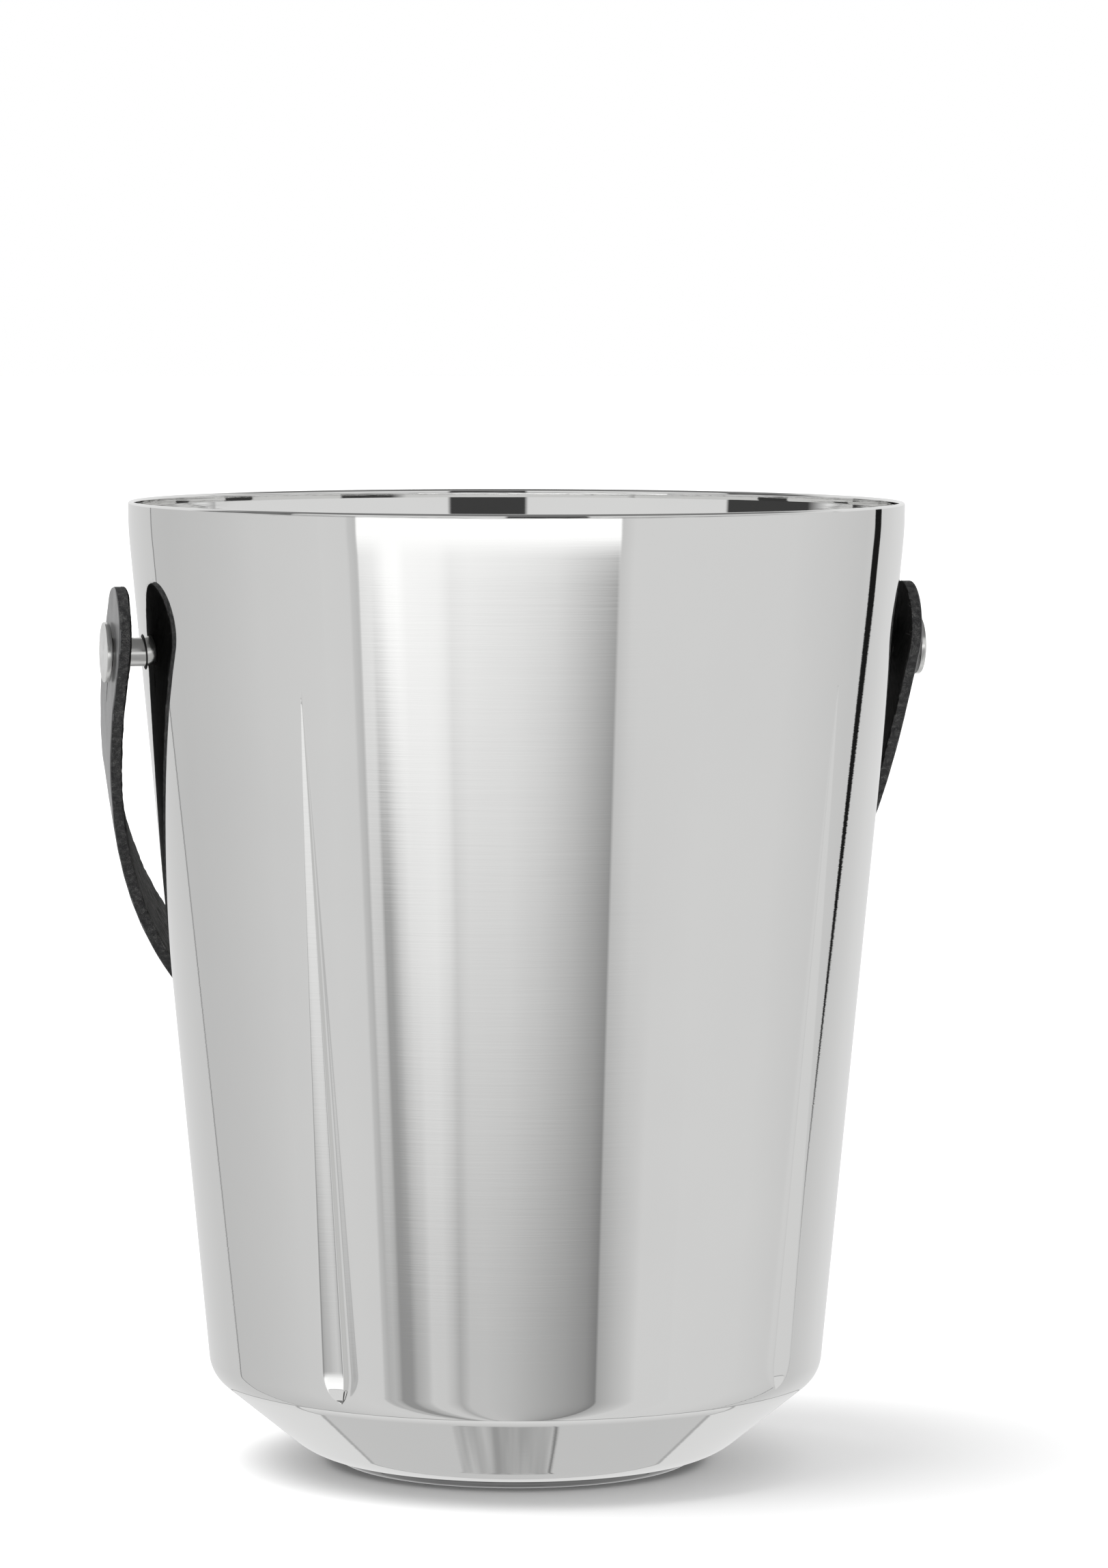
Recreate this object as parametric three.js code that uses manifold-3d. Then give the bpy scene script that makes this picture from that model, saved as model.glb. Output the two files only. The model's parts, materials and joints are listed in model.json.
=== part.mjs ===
// Polished steel champagne bucket with a buttoned leather strap, in millimetres, +Z up.
// The origin is the centre of the flat base. X runs through the two strap studs, and the
// strap hangs down behind the bucket, on the +Y side.

import * as THREE from 'three';
import { mergeVertices } from 'three/addons/utils/BufferGeometryUtils.js';
import Module from 'manifold-3d';

const wasm = await Module();
wasm.setup();

// ---- driving dimensions ----------------------------------------------------------------

const HEIGHT = 249;
const RIM_RADIUS = 100;
const WALL_TAPER = 0.09505;            // growth of the radius for each millimetre of height
const WALL_RADIUS_AT_FLOOR = 76.94;    // the straight wall produced down to the floor
const RIM_TURN_RADIUS = 90;            // the wall turns upright just below the rim
const SHOULDER_RADIUS = 9.2;
const CONE_SLOPE = Math.tan(THREE.MathUtils.degToRad(39));
const CONE_POINT = new THREE.Vector2(56.2, 5);
const BASE_SLOPE = Math.tan(THREE.MathUtils.degToRad(15));
const BASE_TURN_RADIUS = 20;
const BASE_HOLE_RADIUS = 49.3;
const BASE_HOLE_HEIGHT = 2.3;

const SHEET = 0.7;                     // steel sheet of the shell, the liner and the base
const LIP_WIDTH = 1.4;
const LIP_DEPTH = 2;
const LIP_ROUND = 0.65;
const GAP = 0.3;                       // left between pieces that touch

const FLUTE_COUNT = 4;
const FLUTE_TOP = 205;
const FLUTE_WIDEST = 33;
const FLUTE_BOTTOM = 25.4;
const FLUTE_HALF_WIDTH = 5.4;
const FLUTE_TAPER_POWER = 0.75;
const FLUTE_DEPTH_RATIO = 0.3;         // depth at the middle over half the width
const FLUTE_KEEL = 0.15;               // roundness of the flute's keel, over half the width

const WALL_SPACE = 5.5;                // hollow between the shell and the liner
const LINER_FLOOR = 14;
const LINER_CORNER = 18;
const LINER_FLARE_BOTTOM = 226;        // the liner turns out to meet the rim between
const LINER_FLARE_TOP = 240;           // these heights
const LINER_FLARE_ROUND = 14;
const LINER_NECK_DRAFT = 0.35;

const BASE_CAP_RADIUS = 48.3;
const BASE_BEAD = 4.4;
const BASE_BEAD_ROUND = 4.3;
const BASE_FLANGE_RADIUS = 52.2;

const STUD_HEIGHT = 211;
const STUD_FACE = 107.5;               // outer face of the stud's head, from the centre
const HEAD_RADIUS = 7.7;
const HEAD_THICKNESS = 1.35;
const HEAD_CHAMFER = 0.2;
const SHANK_RADIUS = 3.7;
const SHANK_END = 95.7;
const TAIL_RADIUS = 2.5;
const TAIL_END = 91.6;
const NUT_ACROSS_CORNERS = 12.7;
const NUT_THICKNESS = 3.4;
const BUSH_RADIUS = 4.7;
const BUSH_PROUD = 0.25;
const BUSH_INNER_END = 96.1;

const STRAP_WIDTH = 22.8;
const STRAP_THICKNESS = 3.2;
const STRAP_END = 18.4;                // from the stud's centre to the rounded end
const STRAP_DROP = 153;                // from the stud's centre to the bottom of the loop
const STRAP_LEAN = THREE.MathUtils.degToRad(38.7);
const STRAP_SIDES = {
  left: { span: 104.0, across: 2.1, down: 2.3 },
  right: { span: 102.6, across: 2.0, down: 3.0 },
};

const STRAP_STEPS = 30;                // chords in each half of the loop
const STRAP_CROWDING = 1.15;           // draws the chords together near the studs

const COLUMNS_PER_FLUTE = 20;          // columns of the shell, a quarter of the way round
const COLUMNS_ACROSS_HALF = 3;         // of them, from the middle of a flute to its edge
const FLUTE_ROWS = [29, 33, 60, 95, 130, 160, 184, 198, 205];
const ROW_SPACING = 0.4;               // least distance of a flute's row from another row
const SMALLEST_HALF_ANGLE = 0.004;     // a flute's columns never draw closer than this
const LINING_COLUMNS = 56;
const STUD_SIDES = 36;
const HOLE_SIDES = 28;
const BUSH_WALL_SIDES = 360;
const CHORD_ERROR = 0.1;               // how far a chord may cut inside its arc
const OVERRUN = 1;                     // how far a cutting tool runs past its work
const QUARTER = Math.PI / 2;

// ---- materials -------------------------------------------------------------------------

const polishedSteel = new THREE.MeshStandardMaterial({
  color: 0xd9dadb, metalness: 1, roughness: 0.08,
});
const turnedSteel = new THREE.MeshStandardMaterial({
  color: 0xc4c4c2, metalness: 1, roughness: 0.3,
});
const blackLeather = new THREE.MeshStandardMaterial({
  color: 0x242526, metalness: 0, roughness: 0.7,
});
const blackRubber = new THREE.MeshStandardMaterial({
  color: 0x0c0c0c, metalness: 0, roughness: 0.55,
});

// ---- solids ----------------------------------------------------------------------------

function toSolid(geometry) {
  const bare = geometry.clone();
  bare.deleteAttribute('normal');
  bare.deleteAttribute('uv');
  const merged = mergeVertices(bare, 1e-4);
  return new wasm.Manifold(new wasm.Mesh({
    numProp: 3,
    vertProperties: new Float32Array(merged.attributes.position.array),
    triVerts: new Uint32Array(merged.index.array),
  }));
}

function toGeometry(solid) {
  const mesh = solid.getMesh();
  const geometry = new THREE.BufferGeometry();
  geometry.setAttribute('position', new THREE.BufferAttribute(mesh.vertProperties, 3));
  geometry.setIndex(new THREE.BufferAttribute(mesh.triVerts, 1));
  geometry.computeVertexNormals();
  return geometry;
}

function namedMesh(name, geometry, material) {
  const mesh = new THREE.Mesh(geometry, material);
  mesh.name = name;
  return mesh;
}

// A line through corners given as [radius, height, fillet], with each fillet as an arc.
function roundedLine(corners) {
  const points = [];
  corners.forEach(([x, y, fillet = 0], index) => {
    const corner = new THREE.Vector2(x, y);
    if (!fillet || index === 0 || index === corners.length - 1) {
      points.push(corner);
      return;
    }
    const before = new THREE.Vector2(...corners[index - 1]).sub(corner).normalize();
    const after = new THREE.Vector2(...corners[index + 1]).sub(corner).normalize();
    const turn = Math.PI - Math.acos(before.dot(after));
    const reach = fillet * Math.tan(turn / 2);
    const middle = before.clone().add(after).normalize();
    const centre = corner.clone().addScaledVector(middle, fillet / Math.cos(turn / 2));
    const start = corner.clone().addScaledVector(before, reach).sub(centre);
    const side = Math.sign(before.cross(after)) * -1;
    const chordTurn = 2 * Math.acos(1 - CHORD_ERROR / fillet);
    const steps = Math.max(2, Math.ceil(turn / chordTurn));
    for (let step = 0; step <= steps; step += 1) {
      const spoke = start.clone().rotateAround(new THREE.Vector2(), (side * turn * step) / steps);
      points.push(centre.clone().add(spoke));
    }
  });
  return points;
}

// The same line moved sideways by a distance, to the left of its direction.
function offsetLine(points, distance) {
  return points.map((point, index) => {
    const back = points[Math.max(index - 1, 0)];
    const ahead = points[Math.min(index + 1, points.length - 1)];
    const into = point.clone().sub(index ? back : point);
    const out = ahead.clone().sub(point);
    const first = (index ? into : out).normalize();
    const second = (index < points.length - 1 ? out : into).normalize();
    const normal = new THREE.Vector2(-first.y - second.y, first.x + second.x).normalize();
    const stretch = 1 / Math.max(0.5, normal.dot(new THREE.Vector2(-first.y, first.x)));
    return point.clone().addScaledVector(normal, distance * stretch);
  });
}

// A solid of revolution about Z from a closed profile.
function revolve(profile, segments) {
  return new THREE.LatheGeometry([...profile, profile[0]], segments).rotateX(QUARTER);
}

// A cylinder along X, between two distances from the centre.
function cylinderAlongX(radius, from, to, sides) {
  return new THREE.CylinderGeometry(radius, radius, to - from, sides)
    .rotateZ(QUARTER)
    .translate((from + to) / 2, 0, STUD_HEIGHT);
}

function wallRadius(height) {
  return WALL_RADIUS_AT_FLOOR + WALL_TAPER * height;
}

// ---- flutes ----------------------------------------------------------------------------

// Half the width of a flute at a height: it opens downwards from a long thin point and
// closes in a short one above the shoulder.
function fluteHalfWidth(height) {
  if (height >= FLUTE_TOP || height <= FLUTE_BOTTOM) {
    return 0;
  }
  if (height < FLUTE_WIDEST) {
    return FLUTE_HALF_WIDTH * (height - FLUTE_BOTTOM) / (FLUTE_WIDEST - FLUTE_BOTTOM);
  }
  const along = (FLUTE_TOP - height) / (FLUTE_TOP - FLUTE_WIDEST);
  return FLUTE_HALF_WIDTH * along ** FLUTE_TAPER_POWER;
}

// Depth of the pressed channel across its width, where across runs from -1 to 1.
function fluteSection(across) {
  const slope = Math.hypot(across, FLUTE_KEEL) - FLUTE_KEEL;
  const full = Math.hypot(1, FLUTE_KEEL) - FLUTE_KEEL;
  return 1 - slope / full;
}

// Presses the flutes into a surface of revolution that has COLUMNS_PER_FLUTE equal columns
// for each flute. The columns are first drawn together so that they follow its edges.
function pressFlutes(geometry) {
  const position = geometry.attributes.position;
  const pitch = (2 * Math.PI) / FLUTE_COUNT;
  const columnPitch = pitch / COLUMNS_PER_FLUTE;
  for (let index = 0; index < position.count; index += 1) {
    const x = position.getX(index);
    const y = position.getY(index);
    const height = position.getZ(index);
    const radius = Math.hypot(x, y);
    const angle = (Math.atan2(y, x) + 2 * Math.PI) % (2 * Math.PI);
    const flute = Math.floor(angle / pitch);
    const centre = (flute + 0.5) * pitch;
    const column = Math.round((angle - centre) / columnPitch);
    const half = fluteHalfWidth(height);
    const halfAngle = Math.max(Math.asin(half / wallRadius(height)), SMALLEST_HALF_ANGLE);
    const across = Math.abs(column) / COLUMNS_ACROSS_HALF;
    let moved = halfAngle * across;
    let depth = 0;
    if (across > 1) {
      const beyond = (Math.abs(column) - COLUMNS_ACROSS_HALF)
        / (COLUMNS_PER_FLUTE / 2 - COLUMNS_ACROSS_HALF);
      moved = halfAngle + beyond * (pitch / 2 - halfAngle);
    } else {
      depth = half * FLUTE_DEPTH_RATIO * fluteSection(across);
    }
    const turned = centre + Math.sign(column) * moved;
    const pressed = radius - depth;
    position.setXY(index, pressed * Math.cos(turned), pressed * Math.sin(turned));
  }
  return geometry;
}

// ---- body ------------------------------------------------------------------------------

function baseTurnCorner() {
  const rise = CONE_POINT.y - BASE_HOLE_HEIGHT
    + BASE_SLOPE * BASE_HOLE_RADIUS - CONE_SLOPE * CONE_POINT.x;
  const radius = rise / (BASE_SLOPE - CONE_SLOPE);
  return [radius, BASE_HOLE_HEIGHT + BASE_SLOPE * (radius - BASE_HOLE_RADIUS), BASE_TURN_RADIUS];
}

function shoulderCorner() {
  const height = (CONE_POINT.y + CONE_SLOPE * (WALL_RADIUS_AT_FLOOR - CONE_POINT.x))
    / (1 - CONE_SLOPE * WALL_TAPER);
  return [wallRadius(height), height, SHOULDER_RADIUS];
}

function rimTurnCorner() {
  return [RIM_RADIUS, (RIM_RADIUS - WALL_RADIUS_AT_FLOOR) / WALL_TAPER, RIM_TURN_RADIUS];
}

// Adds a row of points to a profile at each height that the flutes need.
function addFluteRows(profile) {
  const result = [];
  profile.forEach((point, index) => {
    result.push(point);
    const next = profile[index + 1];
    if (!next) {
      return;
    }
    const from = point.y + ROW_SPACING;
    const to = next.y - ROW_SPACING;
    FLUTE_ROWS.filter((row) => row > from && row < to).forEach((row) => {
      result.push(point.clone().lerp(next, (row - point.y) / (next.y - point.y)));
    });
  });
  return result;
}

function outerShell() {
  const skin = addFluteRows(roundedLine([
    [BASE_HOLE_RADIUS, BASE_HOLE_HEIGHT],
    baseTurnCorner(),
    shoulderCorner(),
    rimTurnCorner(),
    [RIM_RADIUS, HEIGHT - LIP_DEPTH],
  ]));
  const inside = offsetLine(skin, SHEET).reverse();
  const lip = roundedLine([
    [RIM_RADIUS, HEIGHT - LIP_DEPTH],
    [RIM_RADIUS, HEIGHT, LIP_ROUND],
    [RIM_RADIUS - LIP_WIDTH, HEIGHT, LIP_ROUND],
    [RIM_RADIUS - LIP_WIDTH, HEIGHT - LIP_DEPTH],
  ]);
  const profile = [...skin.slice(0, -1), ...lip, ...inside];
  const geometry = pressFlutes(revolve(profile, FLUTE_COUNT * COLUMNS_PER_FLUTE));
  const hole = toSolid(cylinderAlongX(BUSH_RADIUS + GAP, -RIM_RADIUS, RIM_RADIUS, HOLE_SIDES));
  return toGeometry(toSolid(geometry).subtract(hole));
}

function innerLiner() {
  const top = HEIGHT - LIP_DEPTH - GAP;
  const neck = RIM_RADIUS - SHEET - GAP;
  const wallAt = (height) => wallRadius(height) - SHEET - WALL_SPACE;
  const skin = roundedLine([
    [0, LINER_FLOOR],
    [wallAt(LINER_FLOOR), LINER_FLOOR, LINER_CORNER],
    [wallAt(LINER_FLARE_BOTTOM), LINER_FLARE_BOTTOM, LINER_FLARE_ROUND],
    [neck - LINER_NECK_DRAFT, LINER_FLARE_TOP, LINER_FLARE_ROUND],
    [neck, top],
  ]);
  const inside = offsetLine(skin, SHEET).reverse();
  inside[inside.length - 1].x = 0;
  return new THREE.LatheGeometry([...skin, ...inside], LINING_COLUMNS).rotateX(QUARTER);
}

function baseCap() {
  const skin = roundedLine([
    [0, 0],
    [BASE_CAP_RADIUS, 0, BASE_BEAD_ROUND],
    [BASE_CAP_RADIUS, BASE_BEAD],
    [BASE_FLANGE_RADIUS, BASE_BEAD],
  ]);
  const inside = offsetLine(skin, SHEET).reverse();
  inside[inside.length - 1].x = 0;
  return new THREE.LatheGeometry([...skin, ...inside], LINING_COLUMNS).rotateX(QUARTER);
}

// ---- strap hardware, made at +X and turned round for -X ------------------------------------

function stud() {
  const profile = roundedLine([
    [0, TAIL_END],
    [TAIL_RADIUS, TAIL_END],
    [TAIL_RADIUS, SHANK_END],
    [SHANK_RADIUS, SHANK_END],
    [SHANK_RADIUS, STUD_FACE - HEAD_THICKNESS],
    [HEAD_RADIUS - HEAD_CHAMFER, STUD_FACE - HEAD_THICKNESS],
    [HEAD_RADIUS, STUD_FACE - HEAD_THICKNESS + HEAD_CHAMFER],
    [HEAD_RADIUS, STUD_FACE - HEAD_CHAMFER],
    [HEAD_RADIUS - HEAD_CHAMFER, STUD_FACE],
    [0, STUD_FACE],
  ]);
  return new THREE.LatheGeometry(profile, STUD_SIDES)
    .rotateZ(-QUARTER)
    .translate(0, 0, STUD_HEIGHT);
}

function studBush() {
  const outer = toSolid(cylinderAlongX(BUSH_RADIUS, BUSH_INNER_END, RIM_RADIUS, HOLE_SIDES));
  const bore = toSolid(cylinderAlongX(
    SHANK_RADIUS + GAP,
    BUSH_INNER_END - OVERRUN,
    RIM_RADIUS + OVERRUN,
    HOLE_SIDES,
  ));
  const reach = 2 * BUSH_RADIUS;
  const wall = new THREE.CylinderGeometry(
    wallRadius(STUD_HEIGHT + reach) + BUSH_PROUD,
    wallRadius(STUD_HEIGHT - reach) + BUSH_PROUD,
    2 * reach,
    BUSH_WALL_SIDES,
  ).rotateX(QUARTER).translate(0, 0, STUD_HEIGHT);
  return toGeometry(outer.subtract(bore).intersect(toSolid(wall)));
}

function nut() {
  const start = SHANK_END - GAP - NUT_THICKNESS;
  const block = toSolid(cylinderAlongX(NUT_ACROSS_CORNERS / 2, start, SHANK_END - GAP, 6));
  const bore = toSolid(cylinderAlongX(
    TAIL_RADIUS + GAP,
    start - OVERRUN,
    SHANK_END + OVERRUN,
    HOLE_SIDES,
  ));
  return toGeometry(block.subtract(bore));
}

// ---- strap -----------------------------------------------------------------------------

// The middle of the strap's thickness, seen square to the loop, from the left end to the
// right end: upright past the stud, then each half of the loop is a quarter superellipse.
function strapCentreLine() {
  const half = ({ span, across, down }, side) => {
    const points = [new THREE.Vector2(side * span, STRAP_END + OVERRUN)];
    for (let step = 0; step <= STRAP_STEPS; step += 1) {
      const turn = QUARTER * (step / STRAP_STEPS) ** STRAP_CROWDING;
      points.push(new THREE.Vector2(
        side * span * Math.cos(turn) ** (2 / across),
        -STRAP_DROP * Math.sin(turn) ** (2 / down),
      ));
    }
    return points;
  };
  const left = half(STRAP_SIDES.left, -1);
  const right = half(STRAP_SIDES.right, 1).reverse();
  return [...left, ...right.slice(1)];
}

function strap() {
  const centre = strapCentreLine();
  const flesh = offsetLine(centre, STRAP_THICKNESS / 2);
  const grain = offsetLine(centre, -STRAP_THICKNESS / 2);
  const band = new THREE.ExtrudeGeometry(new THREE.Shape([...grain, ...flesh.reverse()]), {
    depth: STRAP_WIDTH, bevelEnabled: false, curveSegments: 1,
  }).translate(0, 0, -STRAP_WIDTH / 2);

  const endRadius = STRAP_WIDTH / 2;
  const blank = new THREE.Shape();
  blank.moveTo(endRadius + OVERRUN, -STRAP_DROP - STRAP_WIDTH);
  blank.lineTo(endRadius, STRAP_END - endRadius);
  blank.absarc(0, STRAP_END - endRadius, endRadius, 0, Math.PI, false);
  blank.lineTo(-endRadius - OVERRUN, -STRAP_DROP - STRAP_WIDTH);
  const trim = new THREE.ExtrudeGeometry(blank, {
    depth: 2 * STUD_FACE + STRAP_WIDTH, bevelEnabled: false, curveSegments: STUD_SIDES / 2,
  }).translate(0, 0, -STUD_FACE - STRAP_WIDTH / 2).rotateY(QUARTER);

  const holes = cylinderAlongX(SHANK_RADIUS + GAP, -STUD_FACE, STUD_FACE, HOLE_SIDES)
    .translate(0, 0, -STUD_HEIGHT);
  return toGeometry(toSolid(band).intersect(toSolid(trim)).subtract(toSolid(holes)));
}

// ---- assembly --------------------------------------------------------------------------

const bucket = new THREE.Group();
bucket.add(namedMesh('outer_shell', outerShell(), polishedSteel));
bucket.add(namedMesh('inner_liner', innerLiner(), polishedSteel));
bucket.add(namedMesh('base_cap', baseCap(), polishedSteel));

for (const [side, turn] of [['right', 0], ['left', Math.PI]]) {
  const hardware = new THREE.Group();
  hardware.rotation.z = turn;
  hardware.add(namedMesh(`stud_${side}`, stud(), turnedSteel));
  hardware.add(namedMesh(`stud_bush_${side}`, studBush(), blackRubber));
  hardware.add(namedMesh(`stud_nut_${side}`, nut(), turnedSteel));
  bucket.add(hardware);
}

const handle = new THREE.Group();
handle.position.z = STUD_HEIGHT;
handle.rotation.x = QUARTER + STRAP_LEAN;
handle.add(namedMesh('strap', strap(), blackLeather));
bucket.add(handle);

export default bucket;
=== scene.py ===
import json
import math

import bmesh
import bpy
import numpy as np
from mathutils import Matrix, Vector


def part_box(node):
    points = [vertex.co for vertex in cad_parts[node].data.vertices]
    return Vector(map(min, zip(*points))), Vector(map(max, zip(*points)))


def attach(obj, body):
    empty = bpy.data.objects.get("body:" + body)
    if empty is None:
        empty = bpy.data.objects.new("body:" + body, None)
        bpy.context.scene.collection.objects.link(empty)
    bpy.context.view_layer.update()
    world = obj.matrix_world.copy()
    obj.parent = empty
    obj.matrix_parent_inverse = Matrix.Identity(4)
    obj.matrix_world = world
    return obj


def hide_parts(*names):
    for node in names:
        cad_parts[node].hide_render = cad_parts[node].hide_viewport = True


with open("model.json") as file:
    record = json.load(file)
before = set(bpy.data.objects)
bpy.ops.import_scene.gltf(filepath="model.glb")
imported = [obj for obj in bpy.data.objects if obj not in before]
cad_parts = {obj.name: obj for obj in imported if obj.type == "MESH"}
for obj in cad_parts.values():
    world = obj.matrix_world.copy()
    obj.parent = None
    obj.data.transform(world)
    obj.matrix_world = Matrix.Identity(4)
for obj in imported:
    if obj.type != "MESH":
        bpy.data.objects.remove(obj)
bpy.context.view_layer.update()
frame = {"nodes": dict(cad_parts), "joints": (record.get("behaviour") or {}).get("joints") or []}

# Polished steel champagne bucket with a leather strap. All lengths are in metres. +Z is up,
# X runs through the two studs and the strap hangs on the +Y side.

MM = 0.001
random = np.random.default_rng(7)

# ---- dimensions --------------------------------------------------------------------------

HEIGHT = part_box("outer_shell")[1].z
RIM_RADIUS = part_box("outer_shell")[1].x
STUD_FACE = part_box("stud_right")[1].x
HEAD_RADIUS = (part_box("stud_right")[1].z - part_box("stud_right")[0].z) / 2
STUD_HEIGHT = frame["joints"][0]["pos_m"][2]

WALL_TAPER = 0.09505
WALL_RADIUS_AT_FLOOR = 76.94 * MM
RIM_TURN_RADIUS = 90 * MM
SHOULDER_RADIUS = 9.2 * MM
CONE_SLOPE = math.tan(math.radians(39))
CONE_POINT = (56.2 * MM, 5 * MM)
BASE_SLOPE = math.tan(math.radians(15))
BASE_TURN_RADIUS = 20 * MM
BASE_HOLE_RADIUS = 49.3 * MM
BASE_HOLE_HEIGHT = 2.3 * MM
SHEET = 0.7 * MM
LIP_WIDTH = 1.4 * MM
LIP_DEPTH = 2 * MM
LIP_ROUND = 0.65 * MM
GAP = 0.3 * MM

FLUTES = 4
FLUTE_TOP = 205 * MM
FLUTE_WIDEST = 33 * MM
FLUTE_BOTTOM = 25.4 * MM
FLUTE_HALF_WIDTH = 5.4 * MM
FLUTE_TAPER_POWER = 0.75
FLUTE_ARCH = 0.6
SMALLEST_HALF_ANGLE = 0.004

WALL_SPACE = 5.5 * MM
LINER_FLOOR = 14 * MM
LINER_CORNER = 18 * MM
LINER_FLARE_BOTTOM = 226 * MM
LINER_FLARE_TOP = 240 * MM
LINER_FLARE_ROUND = 14 * MM
LINER_NECK_DRAFT = 0.35 * MM

BASE_CAP_RADIUS = 48.3 * MM
BASE_BEAD = 4.4 * MM
BASE_BEAD_ROUND = 4.3 * MM
BASE_FLANGE_RADIUS = 52.2 * MM

HEAD_THICKNESS = 1.35 * MM
HEAD_CHAMFER = 0.2 * MM
SHANK_RADIUS = 3.7 * MM
SHANK_END = 95.7 * MM
TAIL_RADIUS = 2.5 * MM
TAIL_END = 91.6 * MM
SHELL_HOLE_RADIUS = 4.6 * MM
BUSH_RADIUS = 4.52 * MM
BUSH_PROUD = 0.16 * MM
BUSH_INNER_END = 96.1 * MM

STRAP_WIDTH = 22.8 * MM
STRAP_THICKNESS = 3.2 * MM
STRAP_END = 18.4 * MM
STRAP_DROP = 153 * MM
STRAP_LEAN = math.radians(38.7)
STRAP_SIDES = {
    "left": {"span": 104.0 * MM, "across": 2.1, "down": 2.3},
    "right": {"span": 102.6 * MM, "across": 2.0, "down": 3.0},
}
STRAP_HOLE_RADIUS = 4.0 * MM
STRAP_SLIT = 13 * MM

ARC_STEP = math.radians(2.5)


# ---- mesh tools --------------------------------------------------------------------------

def rounded_line(corners, arc_step=ARC_STEP):
    """Points through corners (radius, height, fillet), with each fillet as an arc."""
    points = []
    for index, (x, y, fillet) in enumerate(corners):
        corner = np.array((x, y))
        if not fillet:
            points.append(corner)
            continue
        before = np.array(corners[index - 1][:2]) - corner
        after = np.array(corners[index + 1][:2]) - corner
        before /= np.linalg.norm(before)
        after /= np.linalg.norm(after)
        turn = math.pi - math.acos(before @ after)
        middle = (before + after) / np.linalg.norm(before + after)
        centre = corner + middle * fillet / math.cos(turn / 2)
        start = corner + before * fillet * math.tan(turn / 2) - centre
        side = -np.sign(before[0] * after[1] - before[1] * after[0])
        steps = max(2, math.ceil(turn / arc_step))
        for step in range(steps + 1):
            angle = side * turn * step / steps
            c, s = math.cos(angle), math.sin(angle)
            points.append(centre + (c * start[0] - s * start[1], s * start[0] + c * start[1]))
    return np.array(points)


def offset_line(points, distance):
    """The same line moved sideways, to the left of its direction."""
    ahead = np.diff(points, axis=0)
    ahead /= np.linalg.norm(ahead, axis=1)[:, None]
    left = np.stack([-ahead[:, 1], ahead[:, 0]], axis=1)
    first = np.vstack([left[:1], left])
    second = np.vstack([left, left[-1:]])
    normal = first + second
    normal /= np.linalg.norm(normal, axis=1)[:, None]
    stretch = 1 / np.maximum(0.5, (normal * first).sum(axis=1))
    return points + normal * (distance * stretch)[:, None]


def refine(points, longest):
    """Adds points so that no step of a line is longer than a length."""
    result = [points[0]]
    for start, end in zip(points[:-1], points[1:]):
        count = max(1, math.ceil(np.linalg.norm(end - start) / longest))
        for step in range(1, count + 1):
            result.append(start + (end - start) * step / count)
    return np.array(result)


def mesh_object(name, points, faces, body, node, materials):
    """A smooth object from points and faces that rides on a body and replaces a CAD node."""
    mesh = bpy.data.meshes.new(name)
    mesh.from_pydata(points, [], faces)
    clean = bmesh.new()
    clean.from_mesh(mesh)
    bmesh.ops.remove_doubles(clean, verts=clean.verts, dist=0.002 * MM)
    bmesh.ops.recalc_face_normals(clean, faces=clean.faces)
    clean.to_mesh(mesh)
    clean.free()
    mesh.shade_smooth()
    mesh.set_sharp_from_angle(angle=math.radians(40))
    for each in materials:
        mesh.materials.append(each)
    piece = bpy.data.objects.new(name, mesh)
    bpy.context.scene.collection.objects.link(piece)
    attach(piece, body)
    if node:
        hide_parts(node)
    return piece


def grid_faces(rows, columns, rows_closed=False):
    """Quads of a grid that is closed along its columns."""
    row = np.arange(rows if rows_closed else rows - 1)[:, None]
    column = np.arange(columns)[None, :]
    after = (row + 1) % rows
    beside = (column + 1) % columns
    quads = np.stack([
        row * columns + column,
        row * columns + beside,
        after * columns + beside,
        after * columns + column,
    ], axis=-1)
    return quads.reshape(-1, 4)


def ring_grid(profile, angles):
    """Points of a profile of radius and height turned about Z, as rows of columns."""
    radius = profile[:, :1]
    return np.stack([
        radius * np.cos(angles),
        radius * np.sin(angles),
        np.broadcast_to(profile[:, 1:], (len(profile), angles.shape[-1])),
    ], axis=-1)


def turned_faces(grid, rows_closed):
    return grid_faces(grid.shape[0], grid.shape[1], rows_closed).tolist()


# ---- flutes ------------------------------------------------------------------------------

def wall_radius(height):
    return WALL_RADIUS_AT_FLOOR + WALL_TAPER * height


def flute_half_width(height):
    """Half the width of a flute, which tapers upwards and closes in a blunt arch below."""
    above = np.clip((FLUTE_TOP - height) / (FLUTE_TOP - FLUTE_WIDEST), 0, 1)
    below = np.clip((height - FLUTE_BOTTOM) / (FLUTE_WIDEST - FLUTE_BOTTOM), 0, 1)
    return FLUTE_HALF_WIDTH * above ** FLUTE_TAPER_POWER * (1 - (1 - below) ** 2) ** FLUTE_ARCH


# Folds across a flute, in half widths: where each is, how far the slope turns, how round.
FLUTE_FOLDS = [(-1.0, 0.37, 0.05), (0.0, -1.188, 0.04), (0.56, 1.001, 0.05), (1.04, -0.183, 0.12)]


def flute_section(across):
    """Depth over half the width: a broad flank, the keel, a steep flank and a low shoulder."""
    depth = 0
    for fold, turn, roundness in FLUTE_FOLDS:
        beyond = across - fold
        depth = depth + turn * (beyond + np.hypot(beyond, roundness)) / 2
    return depth * np.clip((1.4 - np.abs(across)) / 0.3, 0, 1)


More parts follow.
